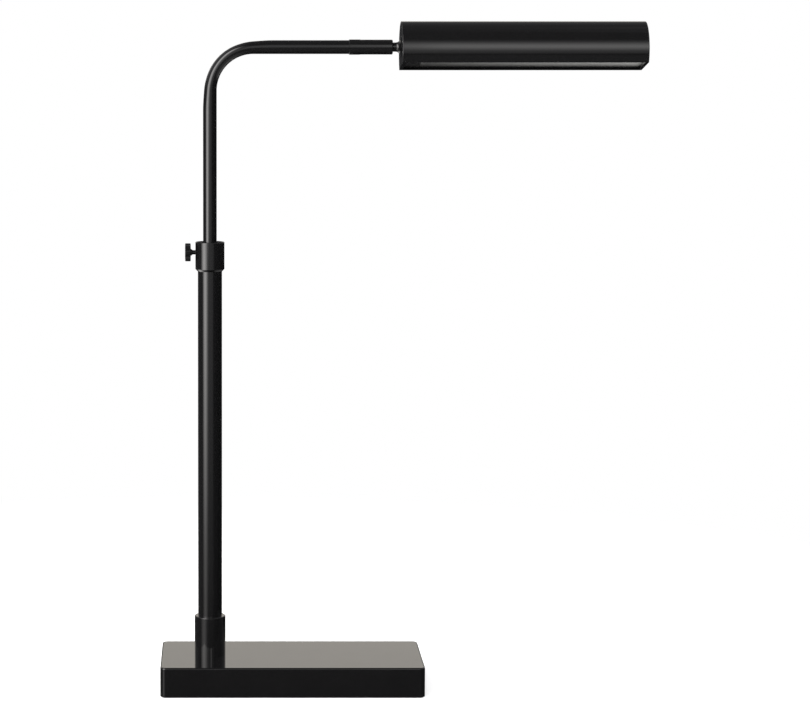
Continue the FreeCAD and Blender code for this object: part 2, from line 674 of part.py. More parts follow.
def make_collar_bush():
    """Nylon bush, held between the collar's lid and the end of the lower tube."""
    body = new_body("collar_bush")
    top = "pole_height - collar_lid"
    revolve(body, "Z", [
        ("clamp_face", "tube_top"), ("collar_bush_radius", "tube_top"),
        ("collar_bush_radius", top), ("clamp_face", top)])
    bore(body, "X", "clamp_hole_radius", "collar_radius", x="-collar_radius", z="clamp_height")


def make_clamp_pad():
    """Nylon tip that presses on the arm tube and doesn't turn with the screw."""
    body = new_body("clamp_pad")
    stub = "-clamp_tip - clamp_spigot_length"
    revolve(body, "X", [
        (stub, "0"), ("-clamp_face", "0"), ("-clamp_face", "clamp_screw_radius"),
        ("-clamp_tip", "clamp_screw_radius"), ("-clamp_tip", "clamp_spigot_radius"),
        (stub, "clamp_spigot_radius")])
    place(body, z="clamp_height")


def make_thumb_screw():
    """M4 thumb screw with a straight-knurled knob and a socket for its nylon tip."""
    body = new_body("thumb_screw")
    neck = "-knob_back + knob_neck_length"
    socket = "clamp_spigot_radius + running_gap"
    socket_end = "-clamp_tip - clamp_spigot_length - ring_play"
    revolve(body, "X", [
        ("-knob_reach", "0"),
        ("-knob_reach", "knob_radius - knob_edge", "-knob_edge"),
        ("-knob_reach + knob_edge", "knob_radius"),
        ("-knob_back - knob_edge", "knob_radius", "-knob_edge"),
        ("-knob_back", "knob_radius - knob_edge"),
        ("-knob_back", "knob_neck_radius"),
        (neck, "clamp_screw_radius"),
        ("-clamp_tip", "clamp_screw_radius"), ("-clamp_tip", socket),
        (socket_end, socket), (socket_end, "0")])
    groove = primitive(body, "SubtractivePrism", "X", f"-knob_reach - {DEEP}",
                       "0", "knob_radius", Circumradius="knob_groove / sqrt(2)",
                       Height=f"knob_thickness + 2 * {DEEP}")
    groove.Polygon = 4
    document.recompute()
    knurl = body.newObject("PartDesign::PolarPattern", "thumb_screw_knurl")
    knurl.Originals = [groove]
    knurl.Axis = (origin_plane(body, "X_Axis"), [""])
    knurl.Angle = 360
    bind(knurl, Occurrences="knob_groove_count")
    body.Tip = knurl
    place(body, z="clamp_height")


# The arm

def make_guide_bush():
    """Nylon guide on the foot of the arm tube. It slides in the lower tube."""
    body = new_body("guide_bush")
    outer = "tube_bore_radius - running_gap"
    revolve(body, "Z", [
        ("clamp_face", "guide_bottom"), (f"{outer} - guide_edge", "guide_bottom"),
        (outer, "guide_bottom + guide_edge"), (outer, "guide_top - guide_edge"),
        (f"{outer} - guide_edge", "guide_top"), ("clamp_face", "guide_top")])


def make_guide_ring(label, bottom):
    """Open spring ring in a groove of the arm tube."""
    body = new_body(label)
    inner, top = "arm_tube_radius - ring_groove_depth + thread_gap", f"{bottom} + ring_thickness"
    revolve(body, "Z", [
        (inner, bottom), ("ring_radius", bottom), ("ring_radius", top), (inner, top)])
    box(body, "SubtractiveBox", "0", "2 * ring_radius", "-ring_opening / 2",
        "ring_opening / 2", f"{bottom} - {DEEP}", f"{top} + {DEEP}")


def make_arm_tube():
    body = new_body("arm_tube")
    section = new_sketch(body, "XY_Plane", "arm_bottom")
    draw_circle(section, "arm_tube_radius")
    draw_circle(section, "arm_tube_radius - arm_tube_wall")
    route = new_sketch(body, "XZ_Plane")
    draw_outline(route, [
        ("0", "arm_bottom"), ("0", "bend_start", "-arm_bend_radius"),
        ("arm_bend_radius", "arm_height"), ("arm_tube_end", "arm_height")], closed=False)
    tube = body.newObject("PartDesign::AdditivePipe", "arm_tube_sweep")
    tube.Profile = section
    tube.Spine = (route, ["Edge1", "Edge2", "Edge3"])
    for bottom in ("ring_under", "ring_over"):
        sketch = new_sketch(body, "XZ_Plane")
        inner, low = "arm_tube_radius - ring_groove_depth", f"{bottom} - thread_gap"
        high = f"{bottom} + ring_thickness + thread_gap"
        draw_outline(sketch, rectangle(inner, f"arm_tube_radius + {DEEP}", low, high))
        cut = body.newObject("PartDesign::Groove", "arm_tube_groove")
        cut.Profile = sketch
        cut.ReferenceAxis = (sketch, ["V_Axis"])
        cut.Angle = 360


def make_arm_ferrule():
    """Sleeve over the end of the arm: its end wall is the swivel's bearing."""
    body = new_body("arm_ferrule")
    tube_seat = "arm_tube_radius + seat_gap"
    stem_hole = "stem_radius + running_gap"
    band_end = "ferrule_start + ferrule_band_length"
    revolve(body, "X", [
        ("ferrule_start", tube_seat),
        ("ferrule_start", "ferrule_band_radius - ferrule_band_edge"),
        ("ferrule_start + ferrule_band_edge", "ferrule_band_radius"),
        (band_end, "ferrule_band_radius"), (band_end, "ferrule_radius"),
        ("arm_reach - ferrule_round", "ferrule_radius", "-ferrule_round"),
        ("arm_reach", "ferrule_radius - ferrule_round"),
        ("arm_reach", stem_hole), ("ferrule_seat", stem_hole),
        ("ferrule_seat", "ferrule_chamber_radius"),
        ("arm_tube_end", "ferrule_chamber_radius"), ("arm_tube_end", tube_seat)])
    place(body, z="arm_height")


# The swivel, in the shade's frame

def ring_about_swivel(label, start, end, inner, outer):
    body = new_body(label)
    revolve(body, "X", rectangle(start, end, inner, outer))
    place_on_swivel(body)
    return body


def make_swivel_stem():
    """Hollow stem: its head turns inside the ferrule, its thread holds the shade."""
    body = new_body("swivel_stem")
    face = "head_front - shade_start"
    back = f"{face} - stem_head_thickness"
    end = "swivel_nut_end + stem_tail"
    revolve(body, "X", [
        (back, "stem_bore_radius"), (end, "stem_bore_radius"), (end, "stem_radius"),
        (face, "stem_radius"), (face, "stem_head_radius"), (back, "stem_head_radius")])
    place_on_swivel(body)


def make_swivel_washer():
    ring_about_swivel("swivel_washer", "head_front - shade_start", "ferrule_seat - shade_start",
                      "stem_radius + thread_gap", "stem_head_radius")


def make_swivel_flange():
    """Hub and flange with a hollow curve between them, against the shade's end cap."""
    body = new_body("swivel_flange")
    start = "swivel_gap - swivel_length"
    bore_radius = "stem_radius + thread_gap"
    revolve(body, "X", [
        (start, bore_radius), ("0", bore_radius), ("0", "flange_radius"),
        ("-flange_rim", "flange_radius"),
        ("-flange_rim", "hub_radius + cove_radius", "-cove_radius"),
        ("-flange_rim - cove_radius", "hub_radius"),
        (f"{start} + hub_edge", "hub_radius"), (start, "hub_radius - hub_edge")])
    place_on_swivel(body)


def make_swivel_nut():
    ring_about_swivel("swivel_lock_washer", "cap_thickness", "spring_washer_end",
                      "stem_radius + thread_gap", "spring_washer_radius")
    body = new_body("swivel_nut")
    primitive(body, "AdditivePrism", "X", "spring_washer_end", "0", "0",
              Circumradius="swivel_nut_width / 2 / cos(30)", Height="swivel_nut_height")
    bore(body, "X", "stem_radius + thread_gap", "swivel_nut_height", x="spring_washer_end")
    place_on_swivel(body)


# The shade

def rib_pair(sketch, reach, low, high, root_level):
    """Two facing ribs, from under the edge at reach into the middle of the wall."""
    root = f"sqrt(wall_middle ^ 2 - ({root_level}) ^ 2)"
    tip = f"{reach} - rib_lap"
    draw_outline(sketch, rectangle(tip, root, low, high))
    draw_outline(sketch, rectangle(f"-{root}", f"-({tip})", low, high))


def make_shade_shell():
    """Extruded shade: a slotted tube with slots for the diffuser and the tray
    and two screw ports for its end caps."""
    body = new_body("shade_shell")
    sketch = new_sketch(body, "YZ_Plane", "cap_thickness")
    draw_circle(sketch, "shade_radius")
    draw_circle(sketch, "shade_bore")
    pad(body, sketch, "shell_length")
    box(body, "SubtractiveBox", "0", "shade_length", "-shade_radius", "shade_radius",
        "-2 * shade_radius", "-opening_drop")
    ribs = new_sketch(body, "YZ_Plane", "cap_thickness")
    below = "(-diffuser_under - rib_thickness)"
    above = "(slot_slack - diffuser_over)"
    rib_pair(ribs, "diffuser_half", below, "-diffuser_under", below)
    rib_pair(ribs, "diffuser_half", above, f"{above} + rib_thickness", above)
    rib_pair(ribs, "tray_half", "-tray_drop - rib_thickness", "-tray_drop", "0")
    rib_pair(ribs, "tray_half", "tray_over + slot_slack",
             "tray_over + slot_slack + rib_thickness", "0")
    pad(body, ribs, "shell_length")
    for side in ("port_side", "-port_side"):
        primitive(body, "AdditiveCylinder", "X", "cap_thickness", side, "port_rise",
                  Radius="port_radius", Height="shell_length")
        bore(body, "X", "small_screw_radius + thread_gap", "shell_length",
             "cap_thickness", side, "port_rise")
    place_on_section(body)


def make_end_cap(label, outer, inner, way):
    """Disc with a rounded rim, cut off level with the lips, on two countersunk screws."""
    body = new_body(label)
    turn = "-cap_edge" if way > 0 else "cap_edge"
    revolve(body, "X", [
        (outer, "0"), (outer, "shade_radius - cap_edge", turn),
        (f"{outer} + {way} * cap_edge", "shade_radius"), (inner, "shade_radius"), (inner, "0")])
    box(body, "SubtractiveBox", f"-{DEEP}", f"shade_length + {DEEP}", "-shade_radius",
        "shade_radius", "-2 * shade_radius", "-opening_drop")
    for side in ("port_side", "-port_side"):
        cone_hole(body, outer, side, "port_rise", way)
    return body


def make_pivot_end_cap():
    body = make_end_cap("pivot_end_cap", "0", "cap_thickness", 1)
    bore(body, "X", "stem_radius + thread_gap", "cap_thickness", z="swivel_rise")
    place_on_section(body)


def make_far_end_cap():
    body = make_end_cap("far_end_cap", "shade_length", "cap_inside", -1)
    bore(body, "X", "button_radius + button_gap", "cap_thickness", x="cap_inside", z="switch_rise")
    place_on_section(body)


def make_end_cap_screws():
    screws = []
    for end, way in (("0", 1), ("shade_length", -1)):
        for side in ("port_side", "-port_side"):
            name = "cap_screw_%d" % (len(screws) + 1)
            screw = countersunk_screw(name, "X", end, way, "cap_screw_length")
            place(screw, "0", side, "port_rise")
            screws.append(screw)
    place_on_section(group("end_cap_screws", screws))


def slotted_plate(label, start, end):
    """Flat strip in the pair of slots above the lips."""
    body = new_body(label)
    box(body, "AdditiveBox", start, end, "-diffuser_half", "diffuser_half",
        "-diffuser_under", "-diffuser_over")
    place_on_section(body)


def make_led_tray():
    """Aluminium tray that carries the board and the driver and spreads the heat."""
    body = new_body("led_tray")
    box(body, "AdditiveBox", "swivel_nut_end + stem_tail + tray_gap",
        "cap_inside - diffuser_gap", "-tray_half", "tray_half", "-tray_drop", "tray_over")
    place_on_section(body)


def make_led_board():
    body = new_body("led_board")
    box(body, "AdditiveBox", "board_start", "board_end", "-board_width / 2",
        "board_width / 2", "-board_under", "-tray_drop")
    place_on_section(body)


def make_led_chips():
    """A row of LED chips, evenly spaced along the board."""
    chips = []
    pitch = "(board_end - board_start) / chip_count"
    for number in range(int(value("chip_count"))):
        chip = document.addObject("Part::Box", "led_chip_%d" % (number + 1))
        bind(chip, Length="chip_size", Width="chip_size", Height="chip_height")
        place(chip, f"board_start + {pitch} * ({number} + 0.5) - chip_size / 2",
              "-chip_size / 2", "-board_under - chip_height")
        chips.append(chip)
    place_on_section(group("led_chips", chips))


def make_led_driver():
    body = new_body("led_driver")
    sketch = new_sketch(body, "XY_Plane", "tray_over")
    draw_outline(sketch, rounded_rectangle(
        "driver_start", "driver_start + driver_length", "-driver_width / 2",
        "driver_width / 2", "driver_round"))
    pad(body, sketch, "driver_height")
    place_on_section(body)


def make_switch():
    """Push switch behind the far end cap: a cup with a contact block, and its button."""
    body = new_body("switch_body")
    outer = "switch_bore + switch_wall"
    end = "cap_inside - switch_length"
    plunger = "button_stem_radius + slot_gap"
    hole_end = "switch_floor - button_stem_length"
    revolve(body, "X", [
        (end, "0"), (hole_end, "0"), (hole_end, plunger), ("switch_floor", plunger),
        ("switch_floor", "switch_bore"), ("cap_inside", "switch_bore"),
        ("cap_inside", outer), (end, outer)])
    place_in_switch(body)
    button = new_body("switch_button")
    face = "shade_length + button_stand"
    back = "cap_inside - button_flange_thickness"
    revolve(button, "X", [
        (f"{back} - button_stem_length", "0"), (face, "0"),
        (face, "button_radius - button_edge", "button_edge"),
        (f"{face} - button_edge", "button_radius"),
        ("cap_inside", "button_radius"), ("cap_inside", "button_radius + button_flange"),
        (back, "button_radius + button_flange"), (back, "button_stem_radius"),
        (f"{back} - button_stem_length", "button_stem_radius")])
    place_in_switch(button)


def place_in_switch(thing):
    """Shade frame with its X axis on the switch."""
    thing.Placement.Rotation = FreeCAD.Rotation(FreeCAD.Vector(-1, 0, 0), 10)
    bind(thing, Placement__Rotation__Angle="shade_roll")
    rise = "(switch_rise - swivel_rise)"
    place(thing, "shade_start", f"{rise} * sin(shade_roll)",
          f"arm_height + {rise} * cos(shade_roll)")


def check_and_export():
    """Stop at anything that failed, then write one file for each piece."""
    document.recompute()
    for thing in document.Objects:
        if "Invalid" in thing.State or "Error" in thing.State:
            raise RuntimeError("%s is %s" % (thing.Label, thing.State))
    for node in nodes:
        if node.Shape.isNull() or not node.Shape.isValid() or not node.Shape.Solids:
            raise RuntimeError("%s has no valid solid" % node.Label)
    os.makedirs("parts", exist_ok=True)
    for node in nodes:
        node.Shape.exportStep(os.path.join("parts", node.Label + ".step"))
        print("%-20s %2d solid(s) %12.1f mm3" % (
            node.Label, len(node.Shape.Solids), node.Shape.Volume))


fill_sheet()
make_felt_pad()
make_base_plate()
make_plate_screws()
make_base_weight()
make_base_housing()
make_cord_bushing()
make_pole_nipple()
make_nipple_washer()
make_nipple_nut()
make_foot_collar()
make_outer_tube()
make_top_collar()
make_collar_bush()
make_clamp_pad()
make_thumb_screw()
make_guide_bush()
make_guide_ring("guide_ring_lower", "ring_under")
make_guide_ring("guide_ring_upper", "ring_over")
make_arm_tube()
make_arm_ferrule()
make_swivel_stem()
make_swivel_washer()
make_swivel_flange()
make_swivel_nut()
make_shade_shell()
make_pivot_end_cap()
make_far_end_cap()
make_end_cap_screws()
slotted_plate("compartment_cover", "cap_thickness", "compartment_length")
slotted_plate("diffuser", "compartment_length + diffuser_gap", "cap_inside - diffuser_gap")
make_led_tray()
make_led_board()
make_led_chips()
make_led_driver()
make_switch()
check_and_export()
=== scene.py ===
"""Piano lamp: materials, cap screws, bent tube, studio light and camera round the CAD frame.

Everything is in metres, in the frame of the CAD model.
"""

import json
import math

import bmesh
import bpy
from mathutils import Matrix, Vector


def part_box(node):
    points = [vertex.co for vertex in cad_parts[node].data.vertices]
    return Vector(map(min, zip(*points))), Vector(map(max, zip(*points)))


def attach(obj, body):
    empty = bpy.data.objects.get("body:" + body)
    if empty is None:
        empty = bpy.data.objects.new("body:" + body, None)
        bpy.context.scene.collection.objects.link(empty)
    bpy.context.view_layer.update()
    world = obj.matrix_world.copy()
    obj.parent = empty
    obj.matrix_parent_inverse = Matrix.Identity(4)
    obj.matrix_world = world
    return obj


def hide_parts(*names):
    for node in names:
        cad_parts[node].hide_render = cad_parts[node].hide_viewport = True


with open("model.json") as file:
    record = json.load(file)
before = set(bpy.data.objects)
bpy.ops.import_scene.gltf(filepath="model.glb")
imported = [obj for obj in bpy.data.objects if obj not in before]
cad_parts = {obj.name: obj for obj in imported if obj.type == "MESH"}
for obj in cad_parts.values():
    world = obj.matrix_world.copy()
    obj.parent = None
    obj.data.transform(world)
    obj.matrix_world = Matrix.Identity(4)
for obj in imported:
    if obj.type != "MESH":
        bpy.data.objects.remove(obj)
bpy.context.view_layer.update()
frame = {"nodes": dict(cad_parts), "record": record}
nodes = frame["nodes"]

# Camera, worked out from the base's corners and the tubes' ends in the photograph
CAMERA_PLACE = (0.0115, -2.392, 0.6078)
CAMERA_PITCH = math.radians(90 - 6.0147)
CAMERA_LENS = 116.0
CAMERA_SHIFT = (0.2254, -0.0671)

WHITE = (1.0, 1.0, 1.0, 1.0)
# Span that a noise texture's values mostly keep to
NOISE_LOW, NOISE_HIGH = 0.3, 0.7
# Faces that meet more sharply than this keep a hard edge
SHARP_ANGLE = math.radians(30)


class Graph:
    """Short ways to add nodes to a node tree."""

    def __init__(self, tree):
        self.tree = tree
        tree.nodes.clear()

    def feed(self, socket, value):
        if isinstance(value, bpy.types.NodeSocket):
            self.tree.links.new(value, socket)
        else:
            socket.default_value = value

    def node(self, kind, feeds=(), **settings):
        made = self.tree.nodes.new("ShaderNode" + kind)
        for name, setting in settings.items():
            setattr(made, name, setting)
        for name, value in dict(feeds).items():
            self.feed(made.inputs[name], value)
        return made

    def math(self, operation, first, second=0.0):
        return self.node("Math", {0: first, 1: second}, operation=operation).outputs[0]

    def change(self, value, start, end, low=0.0, high=1.0, smooth=True):
        """Goes from low to high while value goes from start to end."""
        kind = "SMOOTHSTEP" if smooth else "LINEAR"
        feeds = {"Value": value, "From Min": start, "From Max": end,
                 "To Min": low, "To Max": high}
        return self.node("MapRange", feeds, interpolation_type=kind).outputs["Result"]

    def spread(self, noise, low, high):
        """Goes from low to high over the usual span of a noise."""
        return self.change(noise, NOISE_LOW, NOISE_HIGH, low, high)

    def band(self, value, low, high, soft):
        """1 between low and high, 0 outside, with soft edges."""
        rise = self.change(value, low - soft, low + soft)
        fall = self.change(value, high - soft, high + soft, 1.0, 0.0)
        return self.math("MULTIPLY", rise, fall)

    def mix(self, factor, first, second):
        made = self.node("Mix", data_type="RGBA")
        for socket, value in zip((made.inputs[0], made.inputs[6], made.inputs[7]),
                                 (factor, first, second)):
            self.feed(socket, value)
        return made.outputs[2]

    def place(self, stretch=(1, 1, 1)):
        """Place on the piece, in metres, stretched along some axes."""
        here = self.node("TexCoord").outputs["Object"]
        if tuple(stretch) == (1, 1, 1):
            return here
        return self.node("Mapping", {"Vector": here, "Scale": stretch}).outputs[0]

    def noise(self, size, detail=2.0, stretch=(1, 1, 1), roughness=0.5):
        """Noise whose patches are about size metres across."""
        feeds = {"Vector": self.place(stretch), "Scale": 1 / size, "Detail": detail,
                 "Roughness": roughness}
        return self.node("TexNoise", feeds).outputs["Fac"]

    def bump(self, height, depth, under=None):
        """Normal of a relief that is depth metres high where height goes from 0 to 1."""
        feeds = {"Height": height, "Distance": depth}
        if under is not None:
            feeds["Normal"] = under
        return self.node("Bump", feeds).outputs[0]


def colour(red, green, blue):
    return (red, green, blue, 1.0)


def new_material(name, **sockets):
    """A material with one Principled shader, and the graph to feed it from."""
    material = bpy.data.materials.new(name)
    material.use_nodes = True
    graph = Graph(material.node_tree)
    shader = graph.node("BsdfPrincipled")
    out = graph.node("OutputMaterial")
    graph.tree.links.new(shader.outputs[0], out.inputs["Surface"])
    for socket, value in sockets.items():
        graph.feed(shader.inputs[socket.replace("_", " ")], value)
    return material, graph, shader


def gloss_black():
    """Baked gloss lacquer: a little orange peel, faint dust and uneven gloss."""
    material, g, shader = new_material("gloss_black", IOR=1.5)
    cloud = g.noise(0.05, 3.0)
    dust = g.noise(0.0006, 4.0, roughness=0.7)
    specks = g.change(dust, 0.66, 0.74)
    tone = g.mix(cloud, colour(0.0048, 0.0048, 0.0051), colour(0.0062, 0.0061, 0.0063))
    g.feed(shader.inputs["Base Color"], g.mix(specks, tone, colour(0.016, 0.0155, 0.015)))
    gloss = g.spread(g.noise(0.02, 4.0), 0.05, 0.085)
    g.feed(shader.inputs["Roughness"],
           g.math("ADD", gloss, g.change(dust, 0.6, 0.74, 0.0, 0.18)))
    peel = g.bump(g.noise(0.0022, 1.0), 1.2e-6)
    g.feed(shader.inputs["Normal"], g.bump(g.noise(0.012, 0.0), 4e-6, peel))
    return material


def brushed(name, dark, light, rough, stretch, depth=1.5e-6):
    """Bare metal with fine lines along one axis."""
    material, g, shader = new_material(name, Metallic=1.0)
    lines = g.noise(0.0006, 3.0, stretch)
    stain = g.noise(0.012, 4.0)
    tone = g.mix(g.math("MULTIPLY", lines, stain), colour(*light), colour(*dark))
    g.feed(shader.inputs["Base Color"], tone)
    g.feed(shader.inputs["Roughness"], g.spread(stain, rough[0], rough[1]))
    g.feed(shader.inputs["Normal"], g.bump(lines, depth))
    return material


def moulded(name, dark, light, rough, grain, depth, **sockets):
    """Moulded plastic with a fine eroded grain."""
    material, g, shader = new_material(name, **sockets)
    cloud = g.noise(0.03, 3.0)
    pits = g.noise(grain, 3.0, roughness=0.6)
    g.feed(shader.inputs["Base Color"], g.mix(cloud, colour(*dark), colour(*light)))
    g.feed(shader.inputs["Roughness"], g.spread(pits, rough[0], rough[1]))
    g.feed(shader.inputs["Normal"], g.bump(pits, depth))
    return material


def cast_iron():
    material, g, shader = new_material("raw_iron", Metallic=0.6)
    lumps = g.noise(0.004, 5.0)
    sand = g.noise(0.0007, 3.0, roughness=0.7)
    rust = g.change(g.noise(0.015, 5.0), 0.55, 0.7)
    tone = g.mix(lumps, colour(0.10, 0.10, 0.105), colour(0.20, 0.195, 0.19))
    g.feed(shader.inputs["Base Color"], g.mix(rust, tone, colour(0.16, 0.09, 0.055)))
    g.feed(shader.inputs["Roughness"], g.spread(lumps, 0.55, 0.8))
    g.feed(shader.inputs["Normal"], g.bump(sand, 5e-5, g.bump(lumps, 2e-4)))
    return material


def felt():
    """Pressed wool: matted fibres in three directions and a soft sheen."""
    material, g, shader = new_material("felt", Sheen_Weight=0.35, Sheen_Roughness=0.5)
    strands = [g.noise(0.0005, 2.0, stretch) for stretch in
               ((0.18, 1.0, 1.0), (1.0, 0.18, 1.0), (0.5, 0.5, 0.6))]
    mat = g.math("MAXIMUM", g.math("MAXIMUM", strands[0], strands[1]), strands[2])
    fibre = g.change(mat, 0.45, 0.75)
    g.feed(shader.inputs["Base Color"],
           g.mix(fibre, colour(0.010, 0.010, 0.011), colour(0.035, 0.034, 0.034)))
    g.feed(shader.inputs["Roughness"], g.change(fibre, 0.0, 1.0, 0.85, 1.0))
    g.feed(shader.inputs["Normal"], g.bump(fibre, 2e-4))
    return material


# Share of the strip's half width where its painted shade starts, and its painted brightness
# at the lips
STRIP_PAINTED_SHADE_START, STRIP_PAINTED_LIP_LIGHT = 0.04, 0.25


def frosted():
    """Frosted strip over the dark inside of the shade, with painted light that brightens it
    towards its far end and painted shade that darkens it towards the lips."""
    low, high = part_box("diffuser")
    material, g, shader = new_material("frosted_plastic", IOR=1.49)
    axes = g.node("SeparateXYZ", {0: g.place()}).outputs
    frost = g.noise(0.0005, 3.0, roughness=0.7)
    # Painted light: the strip's colour brightens from its near end to its far end.
    painted_light_along = g.change(axes["X"], low.x, high.x, smooth=False)
    tone = g.mix(painted_light_along, colour(0.085, 0.085, 0.082), colour(0.40, 0.40, 0.385))
    # Painted shade: the strip darkens from near its middle towards both lips.
    aside = g.math("ABSOLUTE", g.math("SUBTRACT", axes["Y"], (low.y + high.y) / 2))
    half = (high.y - low.y) / 2
    painted_lip_shade = g.change(aside, STRIP_PAINTED_SHADE_START * half, half, 1.0, STRIP_PAINTED_LIP_LIGHT)
    # Frost grain times the painted shade towards the lips.
    grain = g.math("MULTIPLY", painted_lip_shade, g.spread(frost, 0.8, 1.2))
    g.feed(shader.inputs["Base Color"],
           g.node("VectorMath", {0: tone, "Scale": grain}, operation="SCALE").outputs[0])
    g.feed(shader.inputs["Roughness"], g.spread(frost, 0.42, 0.55))
    g.feed(shader.inputs["Normal"], g.bump(frost, 8e-6))
    return material


def circuit_board():
    """White solder mask with faint copper tracks under it."""
    material, g, shader = new_material("white_board", IOR=1.5)
    x = g.node("SeparateXYZ", {0: g.place()}).outputs["X"]
    tracks = g.change(g.math("PINGPONG", x, 0.0045), 0.0036, 0.0038)
    cloud = g.noise(0.006, 3.0)
    tone = g.mix(cloud, colour(0.84, 0.84, 0.82), colour(0.90, 0.90, 0.88))
    g.feed(shader.inputs["Base Color"], g.mix(tracks, tone, colour(0.78, 0.77, 0.72)))
    g.feed(shader.inputs["Roughness"], g.spread(cloud, 0.22, 0.32))
    g.feed(shader.inputs["Normal"], g.bump(tracks, 3e-5))
    return material


def phosphor():
    """Yellow phosphor gel of the LED chips."""
    material, g, shader = new_material("led_yellow", IOR=1.45, Coat_Weight=0.5)
    grain = g.noise(0.0002, 2.0)
    g.feed(shader.inputs["Base Color"],
           g.mix(grain, colour(0.80, 0.60, 0.12), colour(0.90, 0.76, 0.28)))
    g.feed(shader.inputs["Roughness"], g.spread(grain, 0.35, 0.5))
    g.feed(shader.inputs["Normal"], g.bump(grain, 4e-6))
    return material


MATERIALS = {
    "gloss_black": gloss_black(),
    "zinc_steel": brushed("zinc_steel", (0.42, 0.42, 0.40), (0.60, 0.61, 0.63),
                          (0.26, 0.40), (1.0, 1.0, 0.08)),
    "spring_steel": brushed("spring_steel", (0.15, 0.15, 0.16), (0.26, 0.26, 0.27),
                            (0.32, 0.45), (1.0, 1.0, 0.15)),
    "black_steel": moulded("black_steel", (0.012, 0.012, 0.012), (0.022, 0.022, 0.021),
                           (0.28, 0.42), 0.0004, 4e-6, IOR=1.5),
    "raw_iron": cast_iron(),
    "felt": felt(),
    "nylon": moulded("nylon", (0.74, 0.73, 0.67), (0.80, 0.79, 0.74),
                     (0.38, 0.50), 0.0006, 6e-6, IOR=1.53, Subsurface_Weight=0.1,
                     Subsurface_Scale=0.001),
    "black_plastic": moulded("black_plastic", (0.014, 0.014, 0.014), (0.022, 0.022, 0.022),
                             (0.36, 0.52), 0.0003, 8e-6, IOR=1.5),
    "frosted_plastic": frosted(),
    "bare_aluminium": brushed("bare_aluminium", (0.62, 0.62, 0.63), (0.78, 0.78, 0.80),
                              (0.28, 0.40), (0.06, 1.0, 1.0)),
    "white_board": circuit_board(),
    "led_yellow": phosphor(),
}


def angles_round(steps):
    return [2 * math.pi * step / steps for step in range(steps)]


def as_object(name, made):
    mesh = bpy.data.meshes.new(name)
    made.to_mesh(mesh)
    made.free()
    thing = bpy.data.objects.new(name, mesh)
    bpy.context.scene.collection.objects.link(thing)
    return thing


def smooth_faces(mesh):
    mesh.polygons.foreach_set("use_smooth", [True] * len(mesh.polygons))
    mesh.set_sharp_from_angle(angle=SHARP_ANGLE)


def dress_nodes():
    """Gives each CAD node the material of its slot."""
    for part in frame["record"]["subparts"]:
        mesh = nodes[part["node"]].data
        mesh.materials.clear()
        mesh.materials.append(MATERIALS[part["material_slot"]])


# Cross-recessed screws of the end caps

HEAD_RADIUS, HEAD_DEPTH, EDGE_BREAK = 0.0028, 0.0013, 0.0001
SHANK_RADIUS, SCREW_SIDES = 0.0015, 40
RECESS_ARM, RECESS_WIDTH, RECESS_DEPTH = 0.0017, 0.00042, 0.0010
# How far the cutter stands out of the head, and the cross's size there and at its bottom
RECESS_ABOVE, RECESS_MOUTH, RECESS_BOTTOM = 0.0005, 1.15, 0.55
# Degrees that the cross of each screw is turned by: the start, and more for each screw
SCREW_TURN_START, SCREW_TURN_STEP = 17, 31
SAME_VERTEX = 1e-6


def separate_solids(mesh):
    """Lowest and highest corner of each loose solid of a mesh."""
    source = bmesh.new()
    source.from_mesh(mesh)
    bmesh.ops.remove_doubles(source, verts=source.verts, dist=SAME_VERTEX)
    left, corners = set(source.verts), []
    while left:
        stack, solid = [left.pop()], []
        while stack:
            vertex = stack.pop()
            solid.append(vertex.co.copy())
            for edge in vertex.link_edges:
                other = edge.other_vert(vertex)
                if other in left:
                    left.remove(other)
                    stack.append(other)
        corners.append(tuple(Vector(pick(p[axis] for p in solid) for axis in range(3))
                             for pick in (min, max)))
    source.free()
    return sorted(corners, key=lambda pair: (round(pair[0].x, 3), pair[0].y))


def turned(profile, steps):
    """Closed mesh turned about X from (x, radius) points that start and end on the axis."""
    made = bmesh.new()
    rings = []
    for x, radius in profile:
        if radius == 0:
            rings.append([made.verts.new((x, 0, 0))] * steps)
            continue
        rings.append([made.verts.new((x, radius * math.cos(a), radius * math.sin(a)))
                      for a in angles_round(steps)])
    for ring, after in zip(rings, rings[1:]):
        for step in range(steps):
            following = (step + 1) % steps
            corners = [ring[step], ring[following], after[following], after[step]]
            made.faces.new(sorted(set(corners), key=corners.index))
    bmesh.ops.recalc_face_normals(made, faces=made.faces)
    return made


def cross_prism():
    """Cross that narrows with depth, to cut the recess."""
    outline = []
    for quarter in range(4):
        turn = Matrix.Rotation(quarter * math.pi / 2, 2)
        outline += [turn @ Vector(point) for point in
                    ((RECESS_WIDTH, RECESS_WIDTH), (RECESS_WIDTH, RECESS_ARM),
                     (-RECESS_WIDTH, RECESS_ARM))]
    made = bmesh.new()
    levels = ((-RECESS_ABOVE, RECESS_MOUTH), (RECESS_DEPTH, RECESS_BOTTOM))
    loops = [[made.verts.new((x, p.x * size, p.y * size)) for p in outline]
             for x, size in levels]
    for here in range(len(outline)):
        there = (here + 1) % len(outline)
        made.faces.new([loops[0][here], loops[0][there], loops[1][there], loops[1][here]])
    for loop in loops:
        made.faces.new(loop)
    bmesh.ops.recalc_face_normals(made, faces=made.faces)
    return made


